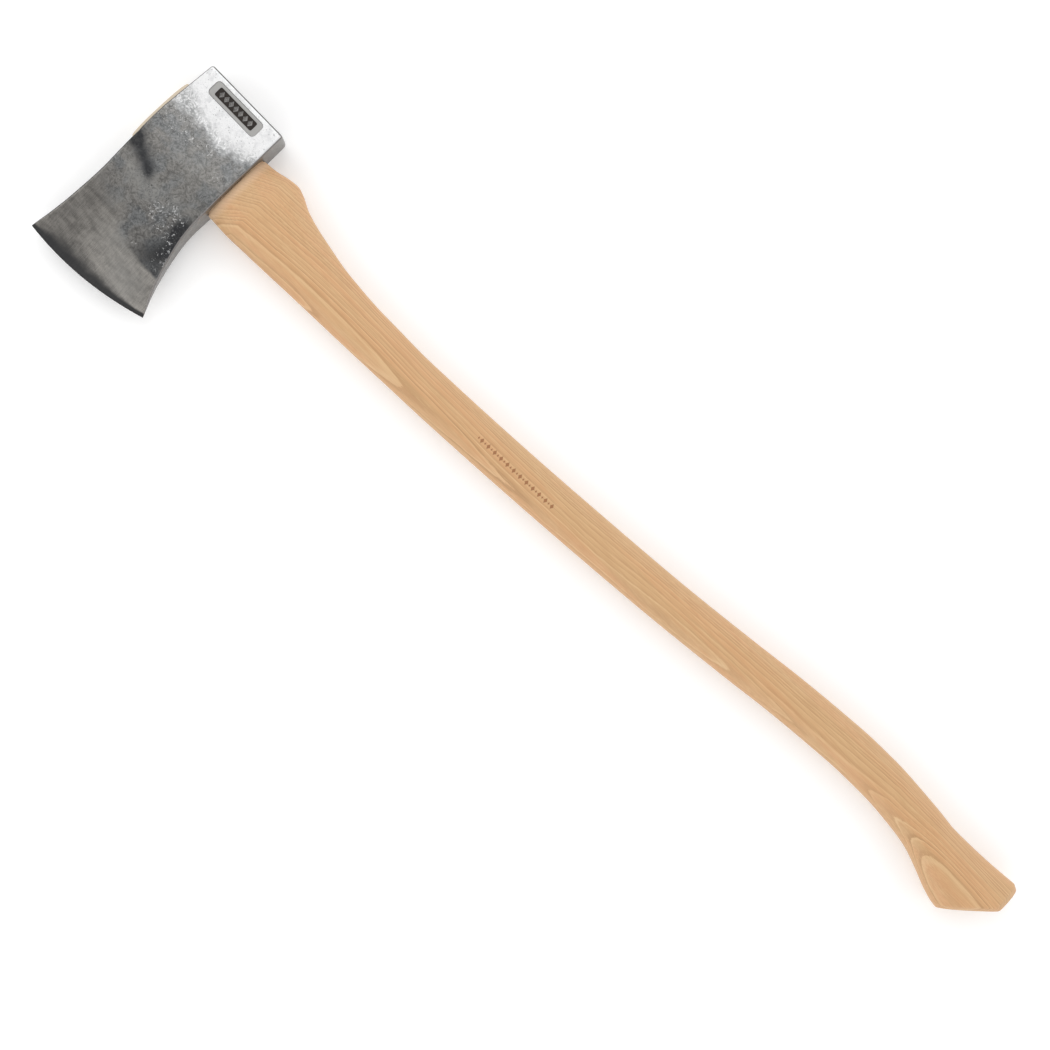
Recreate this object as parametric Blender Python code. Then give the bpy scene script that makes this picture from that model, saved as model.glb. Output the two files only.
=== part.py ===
"""Single-bit felling axe, lying on its side: forged head, curved hickory handle, two wedges.

World frame: +X runs along the handle towards the head, +Y towards the cutting edge, +Z up through
the thickness. The origin is on the floor, under the middle of the axe's box.
Every piece is drawn from the eye datum, the middle of the eye where it opens under the head:
"up" is the distance towards the top of the head, "fore" the distance towards the cutting edge.
"""

import bmesh
import bpy
from math import cos, pi, radians, sin
from mathutils import Vector

MM = 0.001
GAP = 0.3 * MM                      # free space between pieces that are driven tight

# whole axe
BUTT_DOWN = 823.4 * MM              # end of the handle, below the datum
TONGUE_UP = 86.4 * MM               # highest corner of the sawn tongue
EDGE_FORE = 138.5 * MM              # furthest point of the cutting edge
GRIP_BACK = 57.0 * MM               # furthest point of the handle behind the datum
THICKNESS = 31.6 * MM               # over the cheeks, and over the knob

# head
POLL_BACK = 52.7 * MM
POLL_TOP = 78.0 * MM
POLL_HALF = 14.5 * MM
TOE = (137.0 * MM, 91.4 * MM)       # fore, up
HEEL = (125.0 * MM, -21.8 * MM)
EDGE_SAG = 6.0 * MM                 # the edge bows this far in front of the line from heel to toe
POLL_BEVEL = 2.0 * MM
# half thickness of the head against distance in front of the datum, in mm
HEAD_HALF = (
    (-52.7, 14.5), (-34.0, 14.5), (-14.0, 15.7), (-8.0, 15.8), (20.0, 15.8), (28.0, 15.6),
    (48.0, 13.9), (70.0, 11.2), (92.0, 7.9), (112.0, 4.6), (128.0, 1.9), (138.5, 0.25),
)
# top and foot of the head's middle plane against distance in front of the datum, in mm
HEAD_TOP = ((-52.7, 78.2), (6.5, 82.2), (56.6, 82.2), (97.6, 85.2), (137.0, 91.4))
HEAD_FOOT = (
    (-52.7, 0.0), (46.0, 0.0), (58.5, -1.0), (74.4, -4.0), (90.0, -8.2), (104.0, -12.8), (125.0, -21.8),
)

# eye, from the mouth under the head to the top
EYE_BACK, EYE_FORE = 29.0 * MM, 31.0 * MM
EYE_HALF = 9.3 * MM
EYE_SPREAD = 0.02                   # the eye widens by this share of its size up to the top
EYE_POWER = 2.6

# recessed panel on the upper cheek
PANEL_SIZE = (50.0 * MM, 13.0 * MM)
PANEL_CENTRE = (41.0 * MM, -41.5 * MM)     # up, fore
PANEL_DEPTH = 0.6 * MM
PANEL_CORNER = 3.0 * MM

# tongue and wedges
SAW_SLOPE = 1.4 / 60.0              # the tongue is sawn off higher towards the edge
KERF_DEPTH = 58.0 * MM
KERF_TOP, KERF_FOOT = 5.6 * MM, 1.4 * MM
STEEL_WIDTH, STEEL_DEPTH = 13.0 * MM, 26.0 * MM
STEEL_TOP, STEEL_FOOT = 3.2 * MM, 0.8 * MM
STEEL_FORE = 4.0 * MM

# handle, in mm: distance below the datum, front edge, back edge (both fore of the datum), half thickness
HANDLE = (
    (0.3, 32.2, -29.6, 9.9), (12.0, 32.6, -30.8, 12.6), (22.0, 32.9, -33.2, 15.0),
    (26.0, 32.8, -34.0, 15.4), (33.0, 32.4, -34.8, 15.1), (42.0, 32.0, -32.2, 14.4), (52.0, 31.6, -27.4, 13.7),
    (66.0, 30.9, -23.2, 12.9), (82.0, 30.0, -20.0, 12.4), (112.0, 28.6, -15.2, 11.9),
    (152.0, 26.8, -13.0, 11.5), (191.0, 24.8, -13.0, 11.4), (230.0, 22.8, -14.6, 11.4),
    (309.0, 17.4, -19.6, 11.5), (388.0, 10.8, -26.2, 11.6), (466.0, 3.2, -33.6, 11.8),
    (545.0, -6.4, -43.4, 12.0), (584.0, -11.8, -48.8, 12.0), (624.0, -16.1, -53.2, 12.0),
    (663.0, -19.2, -56.4, 12.1), (690.0, -19.7, -57.0, 12.3), (718.0, -17.9, -55.7, 13.0),
    (737.0, -15.2, -54.4, 14.0), (757.0, -8.8, -52.6, 15.2), (773.0, -2.8, -53.0, 15.8),
    (790.0, 1.6, -53.8, 15.8), (808.0, 4.6, -55.4, 15.6), (823.4, 6.0, -57.0, 15.2),
)
OVAL_POWER = 2.25
RING_POINTS = 32
HANDLE_STEP = 14.0 * MM
BUTT_CUT = ((1.8 * MM, 787.6 * MM), (-29.7 * MM, 820.7 * MM))   # slanted cut: fore, down
BUTT_BEVEL = 3.2 * MM

STEEL = ("forged_steel", (0.42, 0.43, 0.45), 0.38, 0.95)
HICKORY = ("hickory", (0.76, 0.55, 0.36), 0.55, 0.0)
WEDGE_WOOD = ("wedge_poplar", (0.66, 0.48, 0.30), 0.65, 0.0)
WEDGE_STEEL = ("wedge_steel", (0.36, 0.36, 0.37), 0.45, 0.95)


def clear_scene():
    for item in list(bpy.data.objects):
        bpy.data.objects.remove(item, do_unlink=True)


def make_material(name, colour, roughness, metallic):
    found = bpy.data.materials.new(name)
    found.use_nodes = True
    shader = found.node_tree.nodes["Principled BSDF"]
    shader.inputs["Base Color"].default_value = (*colour, 1.0)
    shader.inputs["Roughness"].default_value = roughness
    shader.inputs["Metallic"].default_value = metallic
    return found


def make_datum():
    """The empty at the eye datum, placed so that the whole axe is centred over the origin."""
    datum = bpy.data.objects.new("eye_datum", None)
    datum.location = (
        (BUTT_DOWN - TOE[1]) / 2,
        (GRIP_BACK - EDGE_FORE) / 2,
        THICKNESS / 2,
    )
    bpy.context.collection.objects.link(datum)
    return datum


def add_object(name, mesh, look, datum):
    item = bpy.data.objects.new(name, mesh)
    item.parent = datum
    if look:
        mesh.materials.append(make_material(*look))
    bpy.context.collection.objects.link(item)
    return item


def add_cutter(name, mesh, datum):
    item = add_object(name, mesh, None, datum)
    item.hide_render = True
    item.display_type = "WIRE"
    return item


def cut(target, tool, operation="DIFFERENCE"):
    step = target.modifiers.new(tool.name, "BOOLEAN")
    step.operation = operation
    step.solver = "EXACT"
    step.object = tool


def table_value(rows, at, column=1):
    """A smooth curve through the rows of a table, flat beyond its ends."""
    if at <= rows[0][0]:
        return rows[0][column]
    if at >= rows[-1][0]:
        return rows[-1][column]
    last = len(rows) - 1
    slopes = [
        (rows[i + 1][column] - rows[i][column]) / (rows[i + 1][0] - rows[i][0])
        for i in range(last)
    ]
    i = max(k for k in range(last) if rows[k][0] <= at)
    span = rows[i + 1][0] - rows[i][0]
    start = slopes[i] if i == 0 else knot_slope(slopes[i - 1], slopes[i])
    end = slopes[i] if i == last - 1 else knot_slope(slopes[i], slopes[i + 1])
    t = (at - rows[i][0]) / span
    low, high = rows[i][column], rows[i + 1][column]
    return (
        low * (2 * t**3 - 3 * t**2 + 1)
        + high * (3 * t**2 - 2 * t**3)
        + span * start * (t**3 - 2 * t**2 + t)
        + span * end * (t**3 - t**2)
    )


def knot_slope(before, after):
    """Harmonic mean of the slopes on both sides: the curve never overshoots its rows."""
    if before * after <= 0:
        return 0.0
    return 2 * before * after / (before + after)


def mesh_from(build, name):
    bm = bmesh.new()
    build(bm)
    bmesh.ops.remove_doubles(bm, verts=bm.verts, dist=0.005 * MM)
    bmesh.ops.recalc_face_normals(bm, faces=bm.faces)
    mesh = bpy.data.meshes.new(name)
    bm.to_mesh(mesh)
    bm.free()
    return mesh


def power_curve(value, power):
    return (1 if value >= 0 else -1) * abs(value) ** (2 / power)


def oval(along, front, back, half, power=OVAL_POWER, count=RING_POINTS):
    """One oval section across the handle's axis, as points (x, y, z) from the datum."""
    middle, reach = (front + back) / 2, (front - back) / 2
    turns = [2 * pi * i / count for i in range(count)]
    return [
        Vector((along, middle + reach * power_curve(cos(a), power), half * power_curve(sin(a), power)))
        for a in turns
    ]


def loft(bm, rings):
    """Joins closed rings of the same number of points, and closes both ends."""
    made = [[bm.verts.new(p) for p in ring] for ring in rings]
    for low, high in zip(made, made[1:]):
        for i in range(len(low)):
            j = (i + 1) % len(low)
            bm.faces.new((low[i], low[j], high[j], high[i]))
    bm.faces.new(list(reversed(made[0])))
    bm.faces.new(made[-1])


def slice_off(bm, point, normal):
    """Cuts away what lies on the normal's side of a plane, and closes the cut."""
    every = bm.verts[:] + bm.edges[:] + bm.faces[:]
    cut_geometry = bmesh.ops.bisect_plane(
        bm, geom=every, plane_co=point, plane_no=normal, clear_outer=True, dist=0.001 * MM
    )["geom_cut"]
    rim = [item for item in cut_geometry if isinstance(item, bmesh.types.BMEdge)]
    bmesh.ops.holes_fill(bm, edges=rim, sides=0)


def eye_ring(up, grow):
    spread = 1 + EYE_SPREAD * up / POLL_TOP
    return oval(
        up, EYE_FORE * spread + grow, -EYE_BACK * spread - grow, EYE_HALF * spread + grow, EYE_POWER
    )


def saw_plane():
    """The oblique cut across the top of the tongue: a point on it and its normal."""
    return Vector((TONGUE_UP, EYE_FORE, 0)), Vector((1, -SAW_SLOPE, 0)).normalized()


# ---------------------------------------------------------------- head

def head_point(share, rise):
    """A point of the head's middle plane: share runs from poll to edge, rise from foot to top."""
    foot = HEEL[0] * share - POLL_BACK * (1 - share)
    top = TOE[0] * share - POLL_BACK * (1 - share)
    low = table_value(HEAD_FOOT, foot / MM) * MM
    high = table_value(HEAD_TOP, top / MM) * MM
    bow = EDGE_SAG * 4 * rise * (1 - rise) * max(0.0, share - 0.45) / 0.55
    return foot + (top - foot) * rise + bow, low + (high - low) * rise


def head_half(share):
    reach = -POLL_BACK + (EDGE_FORE + POLL_BACK) * share
    return table_value(HEAD_HALF, reach / MM) * MM


def build_head(bm):
    shares = [
        (row[0] * MM + POLL_BACK) / (EDGE_FORE + POLL_BACK) for row in HEAD_HALF
    ]
    rises = [i / 8 for i in range(9)]
    for side in (1, -1):
        for left, right in zip(shares, shares[1:]):
            for low, high in zip(rises, rises[1:]):
                corners = [(left, low), (right, low), (right, high), (left, high)]
                bm.faces.new([head_vertex(bm, s, r, side) for s, r in corners])
    for rise in (0.0, 1.0):
        for left, right in zip(shares, shares[1:]):
            corners = [(left, 1), (right, 1), (right, -1), (left, -1)]
            bm.faces.new([head_vertex(bm, s, rise, side) for s, side in corners])
    for share in (0.0, 1.0):
        for low, high in zip(rises, rises[1:]):
            corners = [(low, 1), (high, 1), (high, -1), (low, -1)]
            bm.faces.new([head_vertex(bm, share, r, side) for r, side in corners])


def head_vertex(bm, share, rise, side):
    fore, up = head_point(share, rise)
    return bm.verts.new((up, fore, side * head_half(share)))


def build_eye_cutter(bm):
    loft(bm, [eye_ring(-30 * MM, 0), eye_ring(120 * MM, 0)])


def rounded_box(bm, size, centre, low, high, corner):
    """An upright box with rounded corners, standing on the plane of its size."""
    points = []
    for turn, (sx, sy) in enumerate(((1, 1), (-1, 1), (-1, -1), (1, -1))):
        middle = Vector((centre[0] + sx * (size[0] / 2 - corner), centre[1] + sy * (size[1] / 2 - corner)))
        for step in range(5):
            angle = radians(90 * turn + 22.5 * step)
            points.append(middle + corner * Vector((cos(angle), sin(angle))))
    loft(bm, [[Vector((p.x, p.y, z)) for p in points] for z in (low, high)])


def build_panel_cutter(bm):
    rounded_box(
        bm, PANEL_SIZE, PANEL_CENTRE, POLL_HALF - PANEL_DEPTH, POLL_HALF + 10 * MM, PANEL_CORNER
    )


def make_head(datum):
    head = add_object("axe_head", mesh_from(build_head, "axe_head"), STEEL, datum)
    edges = head.modifiers.new("forged_corners", "BEVEL")
    edges.width = POLL_BEVEL
    edges.segments = 2
    edges.limit_method = "ANGLE"
    edges.angle_limit = radians(50)
    edges.use_clamp_overlap = True
    cut(head, add_cutter("eye_cutter", mesh_from(build_eye_cutter, "eye_cutter"), datum))
    cut(head, add_cutter("panel_cutter", mesh_from(build_panel_cutter, "panel_cutter"), datum))
    return head


# ---------------------------------------------------------------- handle and wedges

def handle_ring(down):
    front, back, half = (table_value(HANDLE, down / MM, column) * MM for column in (1, 2, 3))
    return oval(-down, front, back, half)


def build_handle(bm):
    first, last = HANDLE[0][0] * MM, BUTT_DOWN
    count = round((last - first) / HANDLE_STEP)
    shaft = [handle_ring(last + (first - last) * i / count) for i in range(count + 1)]
    tongue = [eye_ring(-GAP, -GAP), eye_ring(TONGUE_UP / 2, -GAP), eye_ring(TONGUE_UP + 10 * MM, -GAP)]
    loft(bm, shaft + tongue)
    point, normal = saw_plane()
    slice_off(bm, point, normal)
    (front, start), (back, end) = BUTT_CUT
    run = Vector((-(end - start), back - front, 0))
    slice_off(bm, Vector((-start, front, 0)), Vector((run.y, -run.x, 0)).normalized())


def taper(bm, reach, depth, top, foot, centre, across, grow):
    """A wedge in the tongue, thick at the top: reach runs with the eye, or across it."""
    slant = SAW_SLOPE * (centre - EYE_FORE)
    ends = ((TONGUE_UP + slant - depth - grow, foot), (TONGUE_UP + 20 * MM, top + (top - foot) * 20 * MM / depth))
    rings = []
    for up, thick in ends:
        half_long, half_thin = reach / 2 + grow, thick / 2 + grow
        sides = (half_thin, half_long) if across else (half_long, half_thin)
        rings.append([
            Vector((up, centre + sy * sides[0], sz * sides[1]))
            for sy, sz in ((1, 1), (-1, 1), (-1, -1), (1, -1))
        ])
    loft(bm, rings)


def build_wood_taper(bm, grow=0.0, trim=False):
    taper(bm, 90 * MM, KERF_DEPTH, KERF_TOP, KERF_FOOT, 0, False, grow)
    if trim:
        slice_off(bm, *saw_plane())


def build_steel_taper(bm, grow=0.0, trim=False):
    taper(bm, STEEL_WIDTH, STEEL_DEPTH, STEEL_TOP, STEEL_FOOT, STEEL_FORE, True, grow)
    if trim:
        slice_off(bm, *saw_plane())


def build_tongue_space(bm):
    loft(bm, [eye_ring(0, -GAP), eye_ring(120 * MM, -GAP)])


def make_handle(datum):
    handle = add_object("handle", mesh_from(build_handle, "handle"), HICKORY, datum)
    kerf = mesh_from(lambda bm: build_wood_taper(bm, GAP), "kerf_cutter")
    slot = mesh_from(lambda bm: build_steel_taper(bm, GAP), "steel_slot_cutter")
    kerf_cutter = add_cutter("kerf_cutter", kerf, datum)
    slot_cutter = add_cutter("steel_slot_cutter", slot, datum)
    rim = handle.modifiers.new("eased_edges", "BEVEL")
    rim.width = BUTT_BEVEL
    rim.segments = 2
    rim.limit_method = "ANGLE"
    rim.angle_limit = radians(55)
    cut(handle, kerf_cutter)
    cut(handle, slot_cutter)
    return slot_cutter


def make_wedges(datum, slot_cutter):
    wood_mesh = mesh_from(lambda bm: build_wood_taper(bm, 0.0, True), "wood_wedge")
    wood = add_object("wood_wedge", wood_mesh, WEDGE_WOOD, datum)
    space = add_cutter("tongue_space", mesh_from(build_tongue_space, "tongue_space"), datum)
    cut(wood, space, "INTERSECT")
    cut(wood, slot_cutter)
    steel_mesh = mesh_from(lambda bm: build_steel_taper(bm, 0.0, True), "steel_wedge")
    add_object("steel_wedge", steel_mesh, WEDGE_STEEL, datum)


clear_scene()
eye_datum = make_datum()
make_head(eye_datum)
steel_slot = make_handle(eye_datum)
make_wedges(eye_datum, steel_slot)
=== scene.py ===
import math

import bmesh
import bpy
import numpy as np
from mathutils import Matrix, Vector, noise


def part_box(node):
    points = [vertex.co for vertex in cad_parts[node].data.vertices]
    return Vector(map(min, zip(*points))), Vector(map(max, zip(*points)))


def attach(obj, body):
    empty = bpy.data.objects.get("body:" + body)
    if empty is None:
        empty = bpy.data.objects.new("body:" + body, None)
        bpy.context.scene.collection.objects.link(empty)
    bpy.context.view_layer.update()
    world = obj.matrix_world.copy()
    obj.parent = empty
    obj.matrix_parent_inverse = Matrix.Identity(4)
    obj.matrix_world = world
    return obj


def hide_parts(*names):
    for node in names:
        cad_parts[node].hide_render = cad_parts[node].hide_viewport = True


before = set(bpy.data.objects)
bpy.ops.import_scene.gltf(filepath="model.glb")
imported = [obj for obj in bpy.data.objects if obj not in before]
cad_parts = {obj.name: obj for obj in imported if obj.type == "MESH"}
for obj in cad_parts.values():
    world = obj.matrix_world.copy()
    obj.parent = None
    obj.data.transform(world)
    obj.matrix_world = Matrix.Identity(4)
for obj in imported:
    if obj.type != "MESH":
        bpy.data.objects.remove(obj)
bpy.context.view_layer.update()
mm = 0.001

# The eye datum: middle of the eye where it opens under the head.
# "up" runs to the top of the head (+X), "fore" to the cutting edge (+Y), both in mm from here.
headLow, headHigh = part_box("axe_head")
datum = Vector((headHigh.x - 91.4 * mm, headLow.y + 52.7 * mm, (headLow.z + headHigh.z) / 2))


# ---- curves and meshes

def smoothTable(rows, at):  # a smooth curve through rows of (place, value), flat beyond its ends
    rows = np.array(rows, float)
    x, y = rows[:, 0], rows[:, 1]
    rise = np.diff(y) / np.diff(x)
    before, after = rise[:-1], rise[1:]
    same = before * after > 0
    inner = np.where(same, 2 * before * after / np.where(same, before + after, 1), 0)
    slope = np.r_[rise[0], inner, rise[-1]]
    at = np.clip(at, x[0], x[-1])
    i = np.clip(np.searchsorted(x, at, side="right") - 1, 0, len(x) - 2)
    span = x[i + 1] - x[i]
    t = (at - x[i]) / span
    return (
        y[i] * (2 * t**3 - 3 * t**2 + 1)
        + y[i + 1] * (3 * t**2 - 2 * t**3)
        + span * slope[i] * (t**3 - 2 * t**2 + t)
        + span * slope[i + 1] * (t**3 - t**2)
    )


def smoothStep(low, high, at):
    t = np.clip((at - low) / (high - low), 0, 1)
    return t * t * (3 - 2 * t)


def fieldNoise(points, size, seed=0.0):  # soft noise from -1 to 1 at points in mm
    shift = Vector((seed * 17.3, seed * 7.1, seed * 3.7))
    return np.array([noise.noise(Vector(p) / size + shift) for p in points])


def toWorld(points):  # (up, fore, z) in mm from the datum, to metres in the frame
    return np.asarray(points, float) * mm + np.array(datum)


def ringMesh(name, rings, capStart=False, capEnd=False):  # rings: (count, around, 3) in mm
    rings = np.asarray(rings, float)
    count, around = rings.shape[:2]
    bm = bmesh.new()
    verts = [bm.verts.new(p) for p in toWorld(rings.reshape(-1, 3))]
    for i in range(count - 1):
        for j in range(around):
            k = (j + 1) % around
            a, b = i * around, (i + 1) * around
            bm.faces.new((verts[a + j], verts[a + k], verts[b + k], verts[b + j]))
    for wanted, start in ((capStart, 0), (capEnd, (count - 1) * around)):
        if wanted:
            middle = toWorld(rings[start // around].mean(0))
            centre = bm.verts.new(middle)
            for j in range(around):
                bm.faces.new((verts[start + j], verts[start + (j + 1) % around], centre))
    bmesh.ops.remove_doubles(bm, verts=bm.verts, dist=0.002 * mm)
    bmesh.ops.recalc_face_normals(bm, faces=bm.faces)
    mesh = bpy.data.meshes.new(name)
    bm.to_mesh(mesh)
    bm.free()
    made = bpy.data.objects.new(name, mesh)
    bpy.context.scene.collection.objects.link(made)
    return made


def cutWith(target, tool):
    step = target.modifiers.new("cut", "BOOLEAN")
    step.operation = "DIFFERENCE"
    step.solver = "EXACT"
    step.object = tool
    bakeModifiers(target)
    bpy.data.objects.remove(tool)


def bakeModifiers(item):
    bpy.context.view_layer.update()
    seen = item.evaluated_get(bpy.context.evaluated_depsgraph_get())
    mesh = bpy.data.meshes.new_from_object(seen)
    item.modifiers.clear()
    old = item.data
    item.data = mesh
    bpy.data.meshes.remove(old)


def shadeBy(item, angle):
    item.data.shade_smooth()
    item.data.set_sharp_from_angle(angle=math.radians(angle))


def finishPiece(item, look, slot, *nodes):
    item.data.materials.clear()
    item.data.materials.append(look)
    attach(item, "root")
    if nodes:
        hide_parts(*nodes)


# ---- shader helpers

def addNode(tree, kind, inputs=None, **settings):
    made = tree.nodes.new(kind)
    for key, value in settings.items():
        setattr(made, key, value)
    for key, value in (inputs or {}).items():
        if isinstance(value, bpy.types.NodeSocket):
            tree.links.new(value, made.inputs[key])
        else:
            made.inputs[key].default_value = value
    return made


def maths(tree, operation, a, b=0.0, c=0.0, clamp=False):
    made = addNode(tree, "ShaderNodeMath", {0: a, 1: b, 2: c}, operation=operation, use_clamp=clamp)
    return made.outputs[0]


def ramp(tree, value, low, high, start=0.0, end=1.0):  # smooth change from start to end
    made = addNode(
        tree, "ShaderNodeMapRange",
        {"Value": value, "From Min": low, "From Max": high, "To Min": start, "To Max": end},
        interpolation_type="SMOOTHSTEP",
    )
    return made.outputs["Result"]


def curveOf(tree, value, points, low, high):  # a drawn curve of value, in real units on both sides
    put = ramp(tree, value, low, high)
    put.node.interpolation_type = "LINEAR"
    values = [p[1] for p in points]
    bottom, top = min(values), max(values)
    made = addNode(tree, "ShaderNodeFloatCurve", {"Value": put})
    line = made.mapping.curves[0]
    for _ in range(len(points) - 2):
        line.points.new(0.5, 0.5)
    for point, (x, y) in zip(line.points, points):
        point.location = ((x - low) / (high - low), (y - bottom) / (top - bottom))
    made.mapping.update()
    return maths(tree, "MULTIPLY_ADD", made.outputs["Value"], top - bottom, bottom)


def noiseOf(tree, place, size, detail=3.0, rough=0.55, stretch=(1, 1, 1), warp=0.0):
    put = addNode(
        tree, "ShaderNodeMapping",
        {"Vector": place, "Scale": [1 / (size * s) for s in stretch]},
    )
    made = addNode(
        tree, "ShaderNodeTexNoise",
        {"Vector": put.outputs[0], "Scale": 1.0, "Detail": detail, "Roughness": rough, "Distortion": warp},
    )
    return made.outputs["Fac"]


def mixColour(tree, factor, low, high):
    made = addNode(tree, "ShaderNodeMix", data_type="RGBA")
    for socket, value in zip((made.inputs[0], made.inputs[6], made.inputs[7]), (factor, low, high)):
        if isinstance(value, bpy.types.NodeSocket):
            tree.links.new(value, socket)
        else:
            socket.default_value = value if isinstance(value, float) else (*value, 1.0)
    return made.outputs[2]


def newLook(name, roughness=0.5, metallic=0.0):
    look = bpy.data.materials.new(name)
    look.use_nodes = True
    tree = look.node_tree
    shader = tree.nodes["Principled BSDF"]
    shader.inputs["Roughness"].default_value = roughness
    shader.inputs["Metallic"].default_value = metallic
    return look, tree, shader


def placeIn(tree):  # object coordinates as (up, fore, z) in mm from the datum
    here = addNode(tree, "ShaderNodeTexCoord").outputs["Object"]
    put = addNode(
        tree, "ShaderNodeMapping",
        {"Vector": here, "Location": [-c / mm for c in datum], "Scale": [1 / mm] * 3},
    )
    parts = addNode(tree, "ShaderNodeSeparateXYZ", {0: put.outputs[0]})
    return put.outputs[0], parts.outputs[0], parts.outputs[1], parts.outputs[2]


def addBump(tree, shader, height, depth, strength=1.0):
    made = addNode(tree, "ShaderNodeBump", {"Height": height, "Strength": strength, "Distance": depth * mm})
    tree.links.new(made.outputs[0], shader.inputs["Normal"])


# ---- head

head = {
    # (fore, up) of both ends of the edge, how far it bows, where its middle is
    "pollBack": 52.7, "toe": (137.0, 91.4), "heel": (125.0, -21.8), "edgeBow": 6.0, "edgeFore": 138.5,
    "bowFrom": 0.45, "pollThick": 29.0, "evenShare": 0.55,
    # (fore, half thickness); (fore, up) of the top and of the foot
    "half": [(-52.7, 14.4), (-30, 14.5), (-15, 14.6), (-4, 15.5), (8, 15.8), (20, 15.7), (32, 15.0),
             (48, 13.7), (70, 11.1), (92, 8.0), (112, 5.0), (128, 2.5), (138.5, 1.2)],
    "top": [(-52.7, 78.2), (6.5, 82.2), (56.6, 82.2), (97.6, 85.2), (137, 91.4)],
    "foot": [(-52.7, 0), (46, 0), (58.5, -1.0), (74.4, -4.0), (90, -8.2), (104, -12.8), (125, -21.8)],
    "pollRound": 1.8, "pollRim": 1.4, "cornerPoll": 1.3, "cornerForged": 1.7,
    "pollCorners": ((78.2, -1, 2.6, 2.6), (0.0, 1, 1.2, 4.6)),  # up, way in, near and far radius
    "stations": 190, "rises": 120, "edgeAngle": 14.0, "edgeEase": 0.8, "crown": 0.08,
    "dent": ((84, 24), (50, 43)), "dentDepth": 0.9, "dentWidth": 4.6,  # (up, fore) of its ends
    "hollow": (2, 58, 20, 0.35),  # up, fore, reach, depth
    "hammer": 0.10,
    "eyeBack": 29.0, "eyeFore": 31.0, "eyeHalf": 9.3, "eyeSpread": 0.02, "eyePower": 2.6,
    "panelSize": (50.0, 13.0), "panelPlace": (41.0, -41.5), "panelFloor": 13.85, "panelCorner": 3.2,
    "panelLean": 6.0, "wellSize": (40.0, 7.8), "wellFloor": 13.25, "wellCorner": 1.2, "wellLean": 3.0,
    "toolTop": 22.0,
}


def headOutline(share, rise):  # middle plane of the head: share runs from poll to edge
    p = head
    foot = p["heel"][0] * share - p["pollBack"] * (1 - share)
    top = p["toe"][0] * share - p["pollBack"] * (1 - share)
    low, high = smoothTable(p["foot"], foot), smoothTable(p["top"], top)
    bow = p["edgeBow"] * 4 * rise * (1 - rise) * np.maximum(0, share - p["bowFrom"]) / (1 - p["bowFrom"])
    return foot + (top - foot) * rise + bow, low + (high - low) * rise


def headHalf(share, rise, fore, up):  # half thickness of the head
    p = head
    span = p["edgeFore"] + p["pollBack"]
    half = smoothTable(p["half"], -p["pollBack"] + span * share)
    edge = (1 - share) * span
    half = half * (1 - p["crown"] * (2 * rise - 1) ** 4 * smoothStep(10, 90, fore))
    (upA, foreA), (upB, foreB) = p["dent"]
    run = np.array([upB - upA, foreB - foreA], float)
    long = np.hypot(*run)
    run /= long
    along = (up - upA) * run[0] + (fore - foreA) * run[1]
    aside = (up - upA) * run[1] - (fore - foreA) * run[0]
    fade = smoothStep(-12, 2, along) * (1 - smoothStep(long * 0.6, long * 1.15, along))
    half = half - p["dentDepth"] * np.exp(-((aside / p["dentWidth"]) ** 2)) * fade
    hollowUp, hollowFore, reachAll, depth = p["hollow"]
    half = half - depth * np.exp(-((up - hollowUp) ** 2 + (fore - hollowFore) ** 2) / reachAll**2)
    bevel = edge * math.tan(math.radians(p["edgeAngle"]))
    gap = half - bevel
    return bevel + 0.5 * (gap - np.sqrt(gap * gap + p["edgeEase"] ** 2)) * (edge > 0)


def headRing(share, inV=0.0, inZ=0.0, fore=None):
    p = head
    rises = np.linspace(0, 1, p["rises"])
    share = float(share)
    lowFore, lowUp = headOutline(share, 0.0)
    highFore, highUp = headOutline(share, 1.0)
    length = math.hypot(highUp - lowUp, highFore - lowFore)
    corner = p["cornerPoll"] + (p["cornerForged"] - p["cornerPoll"]) * float(smoothStep(-25, 10, lowFore))
    arc = [math.radians(a) for a in (15, 32, 50, 68, 82)]
    points = []
    endHalf = {}
    for end in (0.0, 1.0):
        f, u = headOutline(share, end)
        endHalf[end] = float(headHalf(share, end, f, u)) - inZ
    small = max(0.0, min(corner, 0.6 * min(endHalf.values())))
    across = np.linspace(0, 1, 7)[:-1]
    for k in across:  # bottom face, from the middle out
        points.append((inV, k * (endHalf[0.0] - small)))
    for a in reversed(arc + [math.pi / 2]):
        points.append((inV + small * (1 - math.sin(a)), endHalf[0.0] - small * (1 - math.cos(a))))
    for r in rises:
        v = inV + small + r * (length - 2 * inV - 2 * small)
        f, u = headOutline(share, v / length)
        points.append((v, float(headHalf(share, v / length, f, u)) - inZ))
    for a in arc + [math.pi / 2]:
        points.append((length - inV - small * (1 - math.sin(a)), endHalf[1.0] - small * (1 - math.cos(a))))
    for k in reversed(across):
        points.append((length - inV, k * (endHalf[1.0] - small)))
    v = np.array([q[0] for q in points])
    z = np.array([q[1] for q in points])
    f, u = headOutline(share, v / length)
    near = np.c_[u, f if fore is None else np.full_like(f, fore), z]
    mirrored = near[1:-1][::-1] * np.array([1, 1, -1])
    return np.r_[near, mirrored]


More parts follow.
